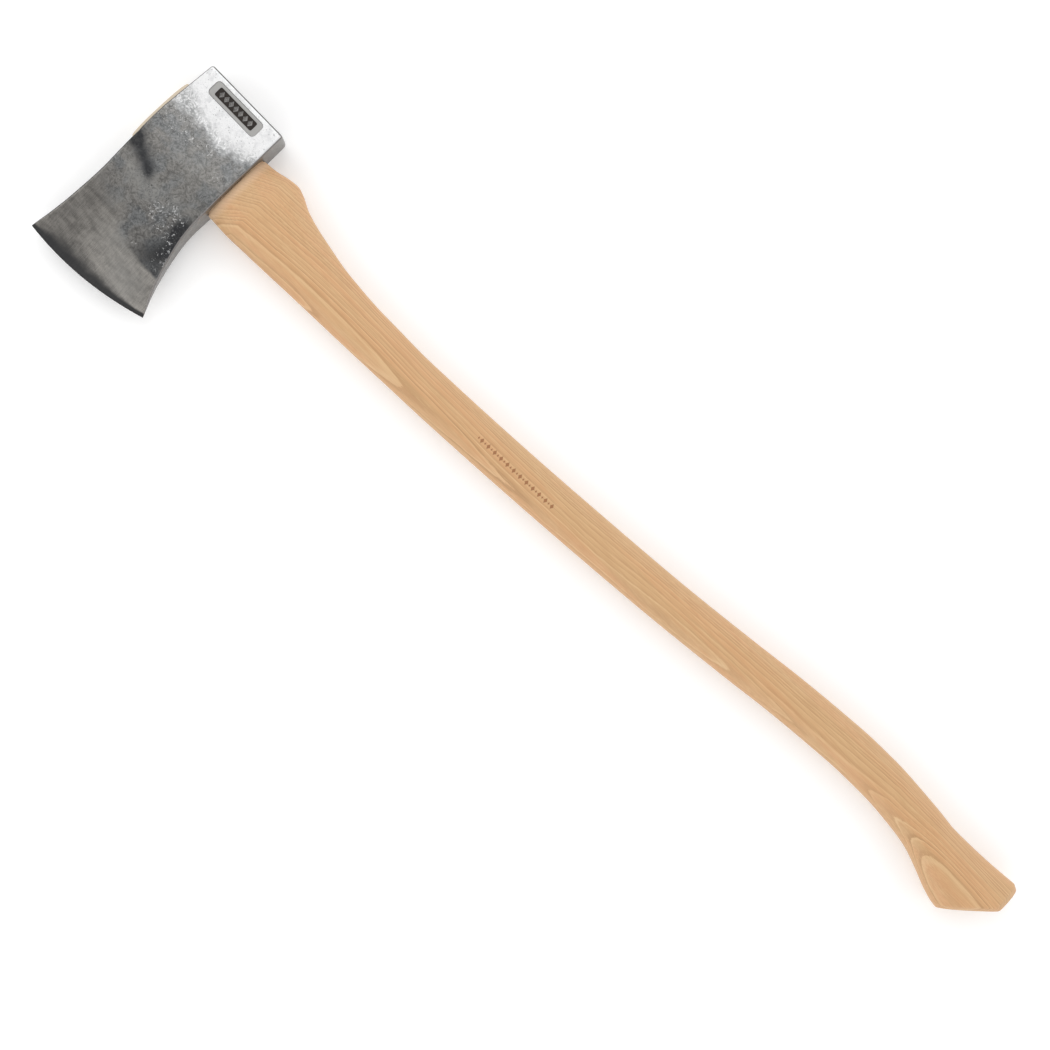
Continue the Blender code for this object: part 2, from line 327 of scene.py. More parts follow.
def buildHead():
    p = head
    start = p["pollRound"] / (p["edgeFore"] + p["pollBack"])
    crowded = start + (1 - start) * np.sin(np.linspace(0, math.pi / 2, p["stations"]))  # closer near the edge
    even = np.linspace(start, 1, p["stations"])
    shares = p["evenShare"] * even + (1 - p["evenShare"]) * crowded
    rings = []
    for turn in np.linspace(90, 0, 7)[:-1]:
        t = math.radians(turn)
        fore = -p["pollBack"] + p["pollRound"] * (1 - math.sin(t))
        inward = 1 - math.cos(t)
        rings.append(headRing(0.0, p["pollRound"] * inward, p["pollRim"] * inward, fore))
    face = rings[0]
    middle = face.mean(0)
    caps = [middle + (face - middle) * k for k in (0.04, 0.2, 0.4, 0.6, 0.8, 0.93)]
    rings = caps + rings
    for share in shares:
        rings.append(headRing(share))
    rings = np.array(rings)
    rings[-1, :, 2] = 0.0
    flat = rings.reshape(-1, 3)
    for cornerUp, wayIn, near, far in p["pollCorners"]:  # rounded corners of the poll face
        radius = near + (far - near) * (0.5 - flat[:, 2] / p["pollThick"])
        fromUp = (flat[:, 0] - cornerUp) * wayIn - radius
        fromFore = flat[:, 1] + p["pollBack"] - radius
        away = np.hypot(fromUp, fromFore)
        outside = (fromUp < 0) & (fromFore < 0) & (away > radius)
        keep = np.where(outside, radius / np.maximum(away, 1e-6), 1.0)
        flat[:, 0] = cornerUp + wayIn * (fromUp * keep + radius)
        flat[:, 1] = fromFore * keep + radius - p["pollBack"]
    forged = smoothStep(-16, -4, flat[:, 1]) * (1 - smoothStep(70, 96, flat[:, 1]))
    hammered = fieldNoise(flat, 11.0) * 0.7 + fieldNoise(flat, 4.5, 1.0) * 0.45
    side = np.clip(flat[:, 2] / 8, -1, 1)
    flat[:, 2] -= side * p["hammer"] * forged * (0.5 + hammered)
    return ringMesh("axeHead", rings, capStart=True)


def superOval(up, front, back, half, power, count):
    turn = np.linspace(0, 2 * math.pi, count, endpoint=False)
    c, s = np.cos(turn), np.sin(turn)
    fore = (front + back) / 2 + (front - back) / 2 * np.sign(c) * np.abs(c) ** (2 / power)
    z = half * np.sign(s) * np.abs(s) ** (2 / power)
    return np.c_[np.broadcast_to(up, fore.shape), fore, z]


def eyeRing(up, grow, count=160):
    p = head
    spread = 1 + p["eyeSpread"] * up / 78.0
    front, back = p["eyeFore"] * spread + grow, -p["eyeBack"] * spread - grow
    return superOval(up, front, back, p["eyeHalf"] * spread + grow, p["eyePower"], count)


def roundedPlate(size, place, low, high, corner, lean, steps=8):
    outline = []
    for turn, (su, sf) in enumerate(((1, 1), (-1, 1), (-1, -1), (1, -1))):
        for step in range(steps + 1):
            a = math.radians(90 * turn + 90 * step / steps)
            middle = su * (size[0] / 2 - corner), sf * (size[1] / 2 - corner)
            outline.append((*middle, math.cos(a), math.sin(a)))
    rings = []
    for z, grow in ((low, 0.0), (high, lean)):
        rings.append([(place[0] + u + (corner + grow) * c, place[1] + f + (corner + grow) * s, z)
                      for u, f, c, s in outline])
    return ringMesh("plateTool", rings, capStart=True, capEnd=True)


axeHead = buildHead()
eyeFlare = ((-30, 1.2), (-0.2, 1.0), (1.0, 0.0), (79, 0.0), (83.5, 0.9), (120, 1.6))  # (up, wider by)
cutWith(axeHead, ringMesh("eyeTool", [eyeRing(u, g) for u, g in eyeFlare], capStart=True, capEnd=True))
for sunk in ("panel", "well"):
    size, floorAt, corner, lean = (head[sunk + part] for part in ("Size", "Floor", "Corner", "Lean"))
    cutWith(axeHead, roundedPlate(size, head["panelPlace"], floorAt, head["toolTop"], corner, lean))
shadeBy(axeHead, 30)
print("head built,", len(axeHead.data.polygons), "faces")


# ---- row of lozenges in the panel

studs = {"count": 7, "pitch": 5.2, "long": 4.6, "wide": 6.2, "rise": 0.75, "top": 0.45}


def studTree(look):  # a row of low four-sided studs, along the head
    tree = bpy.data.node_groups.new("studRow", "GeometryNodeTree")
    for name, kind in (("Count", "Int"), ("Pitch", "Float"), ("Size", "Vector"), ("Top", "Float"),
                       ("Start", "Vector")):
        tree.interface.new_socket(name, in_out="INPUT", socket_type="NodeSocket" + kind)
    tree.interface.new_socket("Geometry", in_out="OUTPUT", socket_type="NodeSocketGeometry")
    given = tree.nodes.new("NodeGroupInput").outputs
    step = addNode(tree, "ShaderNodeCombineXYZ", {"X": given["Pitch"]})
    row = addNode(
        tree, "GeometryNodeMeshLine",
        {"Count": given["Count"], "Start Location": given["Start"], "Offset": step.outputs[0]},
    )
    stud = addNode(
        tree, "GeometryNodeMeshCone",
        {"Vertices": 4, "Radius Top": given["Top"], "Radius Bottom": 1.0, "Depth": 1.0, "Side Segments": 3},
    )
    placed = addNode(
        tree, "GeometryNodeInstanceOnPoints",
        {"Points": row.outputs[0], "Instance": stud.outputs[0], "Scale": given["Size"]},
    )
    real = addNode(tree, "GeometryNodeRealizeInstances", {0: placed.outputs[0]})
    dressed = addNode(tree, "GeometryNodeSetMaterial", {"Geometry": real.outputs[0]})
    dressed.inputs["Material"].default_value = look
    out = tree.nodes.new("NodeGroupOutput")
    tree.links.new(dressed.outputs[0], out.inputs[0])
    return tree


def growFrom(name, tree, values):  # an object whose mesh comes from a node tree, made plain
    made = bpy.data.objects.new(name, bpy.data.meshes.new(name))
    bpy.context.scene.collection.objects.link(made)
    step = made.modifiers.new("grow", "NODES")
    step.node_group = tree
    for socket in tree.interface.items_tree:
        if socket.in_out == "INPUT":
            step[socket.identifier] = values[socket.name]
    bakeModifiers(made)
    return made


# ---- handle

handle = {
    # distance below the datum, front edge, back edge, half thickness
    "rows": [(0.3, 32.2, -29.6, 9.9), (12, 32.6, -30.8, 12.6), (22, 32.9, -33.2, 15.0),
             (26, 32.8, -34.0, 15.4), (33, 32.4, -34.8, 15.1),
             (42, 32.0, -32.2, 14.4), (52, 31.6, -27.4, 13.7),
             (66, 30.9, -23.2, 12.9), (82, 30.0, -20.0, 12.4), (112, 28.6, -15.2, 11.9),
             (152, 26.8, -13.0, 11.5), (191, 24.8, -13.0, 11.4), (230, 22.8, -14.6, 11.4),
             (309, 17.4, -19.6, 11.5), (388, 10.8, -26.2, 11.6), (466, 3.2, -33.6, 11.8),
             (545, -6.4, -43.4, 12.0), (584, -11.8, -48.8, 12.0), (624, -16.1, -53.2, 12.0),
             (663, -19.2, -56.4, 12.1), (690, -19.7, -56.98, 12.3), (718, -17.9, -55.7, 13.0),
             (737, -15.2, -54.4, 14.0), (757, -8.8, -52.6, 15.2), (773, -2.8, -53.0, 15.8),
             (790, 1.6, -53.8, 15.8), (808, 4.6, -55.4, 15.6), (823.4, 6.0, -56.98, 15.2)],
    "power": 2.25, "around": 128, "spacing": 3.0,
    "buttDown": 823.37, "buttCut": ((1.8, 787.6), (-29.7, 820.7)), "buttRound": 4.6, "endStart": 772.0,
    "frontEase": 0.5, "backEase": 2.6,
    "tongueUp": 86.4, "sawSlope": 1.4 / 60.0, "tongueGap": 0.15,
    "kerfDepth": 58.0, "kerfTop": 5.6, "kerfFoot": 1.4,
    "steelWidth": 13.0, "steelDepth": 26.0, "steelTop": 3.2, "steelFoot": 0.8, "steelFore": 4.0,
}


def shaftPoint(turn, down):
    p = handle
    rows = np.array(p["rows"])
    front, back, half = (smoothTable(rows[:, (0, k)], down) for k in (1, 2, 3))
    c, s = np.cos(turn), np.sin(turn)
    fore = (front + back) / 2 + (front - back) / 2 * np.sign(c) * np.abs(c) ** (2 / p["power"])
    return fore, half * np.sign(s) * np.abs(s) ** (2 / p["power"])


def buttAt(fore):  # where the two cuts at the end of the knob lie, with an eased ridge
    (foreA, downA), (foreB, downB) = handle["buttCut"]
    slanted = downA + (fore - foreA) * (downB - downA) / (foreB - foreA)
    square = handle["buttDown"]
    soft = 1.5
    gap = slanted - square
    return square + 0.5 * (gap - np.sqrt(gap * gap + soft * soft))


def sawAt(fore):
    return handle["tongueUp"] - handle["sawSlope"] * (head["eyeFore"] - fore)


def buildHandle():
    p = handle
    turn = np.linspace(0, 2 * math.pi, p["around"], endpoint=False)
    rim = np.full_like(turn, 800.0)
    for _ in range(60):
        rim = 0.5 * rim + 0.5 * buttAt(shaftPoint(turn, rim)[0])
    rings = []
    rimFore, rimZ = shaftPoint(turn, rim)
    midFore = (rimFore.max() + rimFore.min()) / 2
    tight = p["buttRound"]
    ease = np.where(rimFore > midFore, p["frontEase"], p["backEase"])
    ease = ease * np.minimum(1, np.abs(rimFore - midFore) / 12)
    reachFore = np.maximum(np.abs(rimFore - midFore), 1.0)

    def eased(back, share):  # a ring set back from the end and in from the cheeks
        down = rim - back
        fore, z = shaftPoint(turn, down)
        return midFore + (fore - midFore) * (1 - share * ease / reachFore), z * (1 - share * 0.24)

    fore, z = eased(0.0, 1.0)
    for k in (0.03, 0.25, 0.5, 0.75, 0.92):
        f = midFore + (fore - midFore) * k
        rings.append(np.c_[-buttAt(f), f, z * k])
    for t in (0.0, 0.04, 0.12, 0.3, 0.5, 0.7, 0.88, 0.96, 1.0):
        back = tight * t
        fore, z = eased(back, (1 - t) ** 1.15)
        rings.append(np.c_[-(buttAt(fore) - back), fore, z])
    last = rim - tight
    steps = 16
    for i in range(1, steps):
        down = last + (p["endStart"] - last) * i / steps
        fore, z = shaftPoint(turn, down)
        rings.append(np.c_[-down, fore, z])
    count = round((p["endStart"] - 0.9) / p["spacing"])
    for down in np.linspace(p["endStart"], 0.9, count):
        fore, z = shaftPoint(turn, np.full_like(turn, down))
        rings.append(np.c_[np.full_like(fore, -down), fore, z])
    fore, z = shaftPoint(turn, np.full_like(turn, 0.3))
    middle = fore.mean()
    for down, keep in ((0.45, 0.99), (0.3, 0.975)):
        rings.append(np.c_[np.full_like(fore, -down), middle + (fore - middle) * keep, z * keep])
    gap = -p["tongueGap"]
    rings.append(eyeRing(-0.3, gap, p["around"]))
    for up in (4, 20, 40, 60, 76):
        rings.append(eyeRing(float(up), gap, p["around"]))
    top = eyeRing(80.0, gap, p["around"])
    saw = p["tongueUp"] - p["sawSlope"] * (head["eyeFore"] - top[:, 1])
    for back, inset in ((0.5, 0.0), (0.15, 0.12), (0.0, 0.45)):
        ring = top.copy()
        ring[:, 0] = saw - back
        ring[:, 2] *= 1 - inset / head["eyeHalf"]
        ring[:, 1] = 1 + (ring[:, 1] - 1) * (1 - inset / 30)
        rings.append(ring)
    rimRing = rings[-1]
    for k in (0.8, 0.5, 0.2, 0.03):
        put = rimRing.copy()
        put[:, 1] = 1 + (rimRing[:, 1] - 1) * k
        put[:, 2] = rimRing[:, 2] * k
        put[:, 0] = p["tongueUp"] - p["sawSlope"] * (head["eyeFore"] - put[:, 1])
        rings.append(put)
    return ringMesh("hickoryHandle", rings, capStart=True, capEnd=True)


def wedgeTaper(name, bounds, depth, top, foot, centre, across, grow):
    p = handle
    rings = []
    slant = -p["sawSlope"] * (head["eyeFore"] - centre)
    start = p["tongueUp"] + slant - depth - grow
    finish = p["tongueUp"] + 20.0
    for up, thick in ((start, foot), (finish, top + (top - foot) * (20 - slant) / depth)):
        long, thin = bounds / 2 + grow, thick / 2 + grow
        sizes = (thin, long) if across else (long, thin)
        rings.append([(up, centre + f * sizes[0], z * sizes[1])
                      for f, z in ((1, 1), (-1, 1), (-1, -1), (1, -1))])
    return ringMesh(name, rings, capStart=True, capEnd=True)


def kerfTaper(name, grow):
    p = handle
    return wedgeTaper(name, 90.0, p["kerfDepth"], p["kerfTop"], p["kerfFoot"], 0.0, False, grow)


def steelTaper(name, grow):
    p = handle
    return wedgeTaper(name, p["steelWidth"], p["steelDepth"], p["steelTop"],
                      p["steelFoot"], p["steelFore"], True, grow)


def buildWoodWedge():  # thick at the top, its ends following the eye
    p = handle
    start = p["tongueUp"] - p["sawSlope"] * head["eyeFore"] - p["kerfDepth"]
    rings = []
    for k in np.linspace(0, 1, 16):
        ring = eyeRing(0.0, -0.2)
        top = sawAt(ring[:, 1])
        ring[:, 0] = start + (top - 0.35 - start) * k
        thin = (p["kerfFoot"] + (p["kerfTop"] - p["kerfFoot"]) * k) / 2
        ring[:, 2] = np.clip(ring[:, 2], -thin, thin)
        rings.append(ring)
    for rise, inset in ((0.25, 0.06), (0.35, 0.22)):
        ring = rings[15].copy()
        ring[:, 0] += rise
        ring[:, 2] *= 1 - inset / 2.8
        rings.append(ring)
    return ringMesh("woodWedge", rings, capStart=True, capEnd=True)


def buildSteelWedge():  # driven in across the wooden one, its head a little burred
    p = handle
    start = p["tongueUp"] - p["sawSlope"] * (head["eyeFore"] - p["steelFore"]) - p["steelDepth"]
    rings = []
    levels = [(k, 0.0) for k in np.linspace(0, 0.97, 12)] + [(0.98, 0.1), (0.99, 0.16),
                                                             (1.0, 0.1), (1.008, -0.12)]
    for k, grow in levels:
        thin = (p["steelFoot"] + (p["steelTop"] - p["steelFoot"]) * k) / 2 + grow
        ring = superOval(start + p["steelDepth"] * k, p["steelFore"] + thin, p["steelFore"] - thin,
                         p["steelWidth"] / 2 + grow, 9.0, 96)
        ring[:, 0] -= p["sawSlope"] * (p["steelFore"] - ring[:, 1]) * k
        rings.append(ring)
    return ringMesh("steelWedge", rings, capStart=True, capEnd=True)


hickoryHandle = buildHandle()
cutWith(hickoryHandle, kerfTaper("kerfTool", 0.1))
cutWith(hickoryHandle, steelTaper("slotTool", 0.2))
woodWedge = buildWoodWedge()
cutWith(woodWedge, steelTaper("slotTool", 0.2))
steelWedge = buildSteelWedge()
shadeBy(hickoryHandle, 40)
shadeBy(woodWedge, 35)
shadeBy(steelWedge, 50)
print("handle built,", len(hickoryHandle.data.polygons), "faces")


# ---- looks

def softPatch(tree, place, centre, size, turn=0.0):  # a soft oval, 1 in its middle, 0 at its rim
    put = addNode(
        tree, "ShaderNodeMapping",
        {"Vector": place, "Location": (*centre, 0), "Rotation": (0, 0, math.radians(turn)),
         "Scale": (*size, 1e4)},
        vector_type="TEXTURE",
    )
    made = addNode(tree, "ShaderNodeTexGradient", {"Vector": put.outputs[0]}, gradient_type="SPHERICAL")
    return ramp(tree, made.outputs["Fac"], 0.0, 1.0)


def patchSum(tree, place, patches):  # patches: (up, fore), (half sizes), turn, strength
    total = None
    for centre, size, turn, strength in patches:
        part = maths(tree, "MULTIPLY", softPatch(tree, place, centre, size, turn), strength)
        total = part if total is None else maths(tree, "ADD", total, part)
    return maths(tree, "MINIMUM", total, 1.0)


steel = {
    # pale poll tones, partly polished steel and partly painted reflection; the brighter one also paints
    # glints on pits
    "bright": (0.76, 0.76, 0.765), "wornSheen": (0.88, 0.88, 0.88),
    "cloud": (0.55, 0.55, 0.56), "speck": (0.28, 0.28, 0.285),
    "scaleDark": (0.135, 0.14, 0.142), "scale": (0.33, 0.335, 0.335), "warmDark": (0.155, 0.15, 0.142),
    "warm": (0.36, 0.348, 0.33), "warmHighlight": (0.40, 0.39, 0.37),
    "groundDark": (0.29, 0.276, 0.256), "ground": (0.57, 0.54, 0.50),
    "black": (0.045, 0.046, 0.049), "side": (0.36, 0.35, 0.34), "sideDark": (0.20, 0.193, 0.187),
    # soft dark places on the cheek, painted shade along the dent and over the lower cheek with dark smudges
    # near the heel: middle (up, fore), half sizes, turn, strength
    "shadeAndSmudge": [((81, 29), (12, 17), 0, 0.95), ((67, 35), (26, 12), -33, 1.0), ((53, 41), (14, 8), -50, 0.7),
              ((3, 54), (14, 16), 0, 0.75), ((0, 68), (18, 32), 12, 1.0), ((10, 88), (22, 20), 35, 0.8),
              ((20, 66), (34, 28), 20, 0.12), ((80, 85), (18, 46), 0, 0.3), ((-20, 122), (9, 12), 0, 0.7),
              ((-5, 98), (9, 14), 20, 0.7)],
    # painted highlights on the cheek: middle (up, fore), half sizes, turn, strength
    "paintedHighlights": [((62, 49), (26, 11), -33, 1.3), ((44, 50), (18, 12), -40, 1.2), ((24, 44), (30, 18), 20, 0.7),
             ((30, 12), (40, 22), 0, 0.5), ((8, 114), (30, 24), 0, 1.0), ((34, 100), (30, 24), 0, 0.6)],
    # places crowded with painted glints and dark pits: middle (up, fore), half sizes, turn, strength
    "glintAndPitPlace": [((28, 60), (20, 16), 0, 0.9), ((12, 57), (28, 20), 20, 1.3), ((-2, 78), (20, 30), 0, 1.3),
                   ((24, 46), (24, 14), 0, 0.6), ((32, -5), (24, 10), 0, 1.1), ((12, 8), (20, 12), 0, 0.8),
                   ((62, 0), (40, 18), 0, 0.85), ((74, -2), (14, 18), 0, 0.8), ((50, 48), (22, 14), 0, 0.8),
                   ((46, -6), (24, 8), 0, 0.85), ((40, 10), (50, 40), 0, 0.3)],
    "panel": (0.40, 0.395, 0.385), "well": (0.042, 0.037, 0.034),
    # rim tones: painted dark reflection on the rounded rims of the narrow faces
    "rim": (0.05, 0.049, 0.048), "footRimShade": (0.20, 0.19, 0.185),
    "edgeBand": 8.0,
}


def forgedSteel():
    p = steel
    look, tree, shader = newLook("forgedSteel", 0.34, 1.0)
    place, up, fore, z = placeIn(tree)
    side = maths(tree, "ABSOLUTE", z)
    sway = maths(tree, "SUBTRACT", noiseOf(tree, place, 10.0, 3), 0.5)
    ripple = maths(tree, "SUBTRACT", noiseOf(tree, place, 2.6, 4, 0.65), 0.5)
    mottle = noiseOf(tree, place, 3.2, 5, 0.72, warp=0.8)
    grit = noiseOf(tree, place, 0.9, 3, 0.7)
    swirl = noiseOf(tree, place, 5.0, 5, 0.68, warp=2.2)
    # where the uncovered polished poll ends, its pale tone partly polished steel and partly painted
    # reflection; where the grinding starts
    pollEnd = curveOf(tree, up,
                      [(-22, -22), (2, -18), (15, -13.5), (30, -9.5), (48, -12), (64, -12), (92, -7)],
                      -22.0, 92.0)
    fromPoll = maths(tree, "SUBTRACT", fore, pollEnd)
    fromPoll = maths(tree, "MULTIPLY_ADD", sway, 11.0, fromPoll)
    fromPoll = maths(tree, "MULTIPLY_ADD", ripple, 12.0, fromPoll)
    normal = addNode(tree, "ShaderNodeSeparateXYZ",
                     {0: addNode(tree, "ShaderNodeTexCoord").outputs["Normal"]})
    facing = maths(tree, "ABSOLUTE", normal.outputs[2])
    onCheek = ramp(tree, facing, 0.84, 0.955)
    bareSheen = maths(tree, "MULTIPLY", ramp(tree, fromPoll, -5.5, 3.5, 1.0, 0.0), onCheek)
    start = curveOf(tree, up, [(-22, 97), (8, 96), (36, 94), (50, 77), (68, 73), (92, 58)], -22.0, 92.0)
    past = maths(tree, "SUBTRACT", maths(tree, "MULTIPLY_ADD", sway, 5.0, fore), start)
    softness = ramp(tree, up, 10.0, 60.0, 1.5, 11.0)
    ground = maths(tree, "MULTIPLY_ADD", maths(tree, "DIVIDE", past, softness), 0.5, 0.5, clamp=True)
    # tones
    blotch = noiseOf(tree, place, 15.0, 3, 0.5)
    grain = ramp(tree, maths(tree, "MULTIPLY_ADD", mottle, 0.8, maths(tree, "MULTIPLY", swirl, 1.2)),
                 0.72, 1.28)
    cool = mixColour(tree, grain, p["scaleDark"], p["scale"])
    warm = mixColour(tree, grain, p["warmDark"], p["warm"])
    coolness = maths(tree, "ADD", ramp(tree, fore, -12.0, 12.0, 0.45, 0.0), ramp(tree, blotch, 0.42, 0.62))
    forged = mixColour(tree, maths(tree, "MINIMUM", coolness, 1.0), warm, cool)
    lines = noiseOf(tree, place, 1.0, 2, 0.6, stretch=(0.4, 10.0, 10.0))
    bands = noiseOf(tree, place, 5.0, 3, 0.6, stretch=(3.0, 1.0, 1.0))
    mixed = maths(tree, "MULTIPLY_ADD", bands, 0.8, maths(tree, "MULTIPLY", lines, 0.7))
    mixed = maths(tree, "MULTIPLY_ADD", grit, 0.4, mixed)
    groundTone = mixColour(tree, ramp(tree, mixed, 0.70, 1.20), p["groundDark"], p["ground"])
    dim = ramp(tree, up, 22.0, 74.0, 1.0, 0.56)
    groundTone = mixColour(tree, dim, (0.0, 0.0, 0.0), groundTone)
    tone = mixColour(tree, ground, forged, groundTone)
    strokes = noiseOf(tree, place, 1.1, 3, 0.8, stretch=(1.0, 1.6, 1.0), warp=1.0)
    tone = mixColour(tree, ramp(tree, strokes, 0.56, 0.72, 0.0, 0.28), tone, p["scale"])
    tone = mixColour(tree, ramp(tree, strokes, 0.44, 0.30, 0.0, 0.25), tone, p["black"])
    # painted shade along the dent and low on the cheek, with dark smudges near the heel
    shadeAndSmudge = patchSum(tree, place, p["shadeAndSmudge"])
    shadeAndSmudge = maths(tree, "MULTIPLY", shadeAndSmudge, ramp(tree, mottle, 0.2, 0.6, 0.7, 1.0))
    shadeAndSmudge = maths(tree, "MULTIPLY", shadeAndSmudge,
                  maths(tree, "SUBTRACT", 1.0, maths(tree, "MULTIPLY", ground, 0.85)))
    # painted highlights along the ridge and on the lower cheek
    paintedHighlights = patchSum(tree, place, p["paintedHighlights"])
    highlightAmount = maths(tree, "MULTIPLY", maths(tree, "MULTIPLY", paintedHighlights, 0.75),
                ramp(tree, swirl, 0.30, 0.62, 0.35, 1.0))
    tone = mixColour(tree, highlightAmount, tone, p["warmHighlight"])
    tone = mixColour(tree, shadeAndSmudge, tone, p["black"])
    # the pale poll: polished steel with painted reflection
    brightTone = mixColour(tree, ramp(tree, grit, 0.3, 0.65), p["bright"], p["wornSheen"])
    cloud = noiseOf(tree, place, 6.0, 3, 0.55)
    brightTone = mixColour(tree, ramp(tree, cloud, 0.48, 0.68, 0.0, 0.4), brightTone, p["cloud"])
    early = ramp(tree, up, 52.0, 80.0, 0.0, 9.0)
    fading = ramp(tree, maths(tree, "ADD", fromPoll, early), -15.0, 1.0, 0.0, 1.0)
    brightTone = mixColour(tree, maths(tree, "MULTIPLY", fading, ramp(tree, swirl, 0.36, 0.60)),
                           brightTone, p["scale"])
    specks = ramp(tree, noiseOf(tree, place, 1.7, 3, 0.6), 0.62, 0.70)
    brightTone = mixColour(tree, maths(tree, "MULTIPLY", specks, 0.7), brightTone, p["speck"])
    tone = mixColour(tree, bareSheen, tone, brightTone)
    # painted glints on pits and dark pits, crowded together in places
    crowd = patchSum(tree, place, p["glintAndPitPlace"])
    pits = noiseOf(tree, place, 3.4, 4, 0.74, warp=1.6)
    level = ramp(tree, crowd, 0.0, 1.0, 0.72, 0.58)
    pitGlint = ramp(tree, maths(tree, "SUBTRACT", pits, level), 0.0, 0.075)
    sunk = maths(tree, "MULTIPLY", ramp(tree, pits, 0.42, 0.36), ramp(tree, crowd, 0.2, 0.8))
    # painted glints on the pits
    tone = mixColour(tree, maths(tree, "MULTIPLY", pitGlint, 0.65), tone, p["wornSheen"])
    tone = mixColour(tree, maths(tree, "MULTIPLY", sunk, 0.7), tone, p["black"])
    # painted dark reflection on the sharpened bevel along the edge, thinner at both corners
    rise = ramp(tree, up, 66.0, 91.0, 1.0, 0.1)
    width = maths(tree, "MULTIPLY",
                  maths(tree, "MULTIPLY", ramp(tree, up, -22.0, 55.0, 0.12, 1.0), rise), p["edgeBand"])
    across = maths(tree, "DIVIDE", maths(tree, "SUBTRACT", side, 0.4), maths(tree, "MULTIPLY", width, 0.25))
    bevelDarkReflection = maths(tree, "SUBTRACT", 1.0,
                  ramp(tree, maths(tree, "MULTIPLY_ADD", sway, 0.8, across), 0.25, 1.75))
    bevelDarkReflection = maths(tree, "MULTIPLY", bevelDarkReflection, ramp(tree, fore, 90.0, 110.0))
    # painted dark reflection on the bevel
    tone = mixColour(tree, maths(tree, "MULTIPLY", bevelDarkReflection, 0.93), tone, p["black"])
    # the narrow faces: ground across, dull, their tone painted darker as shade; their rims painted dark as a
    # dark reflection
    cross = noiseOf(tree, place, 1.0, 3, 0.7, stretch=(3.0, 3.0, 0.6))
    flank = mixColour(tree, ramp(tree, cross, 0.3, 0.7), p["sideDark"], p["side"])
    # painted dark reflection on the rounded rims
    rim = mixColour(tree, ramp(tree, normal.outputs[0], -0.3, 0.1), p["footRimShade"], p["rim"])
    flank = mixColour(tree, ramp(tree, facing, 0.15, 0.45), flank, rim)
    tone = mixColour(tree, onCheek, flank, tone)
    # the sunk panel and its blackened well
    panelUp, panelFore = head["panelPlace"]
    inLong = ramp(tree, maths(tree, "ABSOLUTE", maths(tree, "SUBTRACT", up, panelUp)), 25.5, 26.0, 1.0, 0.0)
    inWide = ramp(tree, maths(tree, "ABSOLUTE", maths(tree, "SUBTRACT", fore, panelFore)), 7.0, 7.5, 1.0, 0.0)
    inPanel = maths(tree, "MULTIPLY", maths(tree, "MULTIPLY", inLong, inWide), ramp(tree, z, 13.0, 13.2))
    sunken = maths(tree, "MULTIPLY", inPanel, ramp(tree, z, head["panelFloor"] + 0.1, 14.2, 1.0, 0.0))
    deeper = maths(tree, "MULTIPLY", inPanel,
                   ramp(tree, z, head["wellFloor"] + 0.1, head["panelFloor"] - 0.05, 1.0, 0.0))
    tone = mixColour(tree, sunken, tone, p["panel"])
    tone = mixColour(tree, deeper, tone, p["well"])
    tree.links.new(tone, shader.inputs["Base Color"])
    rough = maths(tree, "MULTIPLY_ADD", mottle, 0.22, 0.26)
    rough = maths(tree, "MULTIPLY_ADD", shadeAndSmudge, 0.12, rough)
    tree.links.new(rough, shader.inputs["Roughness"])
    scaly = maths(tree, "MULTIPLY", maths(tree, "SUBTRACT", 1.0, ground),
                  maths(tree, "MULTIPLY_ADD", bareSheen, -0.75, 1.0))
    height = maths(tree, "MULTIPLY", maths(tree, "ADD", mottle, maths(tree, "MULTIPLY", grit, 0.3)), scaly)
    height = maths(tree, "MULTIPLY_ADD", lines, 0.12, height)
    height = maths(tree, "MULTIPLY_ADD", pitGlint, -0.4, height)
    addBump(tree, shader, height, 0.28, 0.5)
    return look


wood = {
    "pale": (0.69, 0.478, 0.262), "base": (0.60, 0.372, 0.188),
    "dark": (0.45, 0.253, 0.115), "pink": (0.62, 0.348, 0.172),
    "endPale": (0.72, 0.65, 0.52), "paintedLightUnderHead": (0.88, 0.66, 0.47), "burnt": (0.30, 0.125, 0.048),
    "pith": [(-824, 0), (-780, 3), (-478, 27), (-320, 40), (-150, 45), (0, 56), (90, 60)],  # (up, fore)
    "shoulderFrom": -25.0, "shoulderSlope": 0.3,
    "pithDeep": 75.0, "ringWidth": 2.0, "ringShift": 0.35, "knobEase": 0.053, "knobFrom": -700.0,
    "burnAt": (-313.6, -0.55), "burnTurn": 2.4, "burnHalf": 41.0, "burnPitch": 3.4, "burnSize": (1.7, 2.7),
}


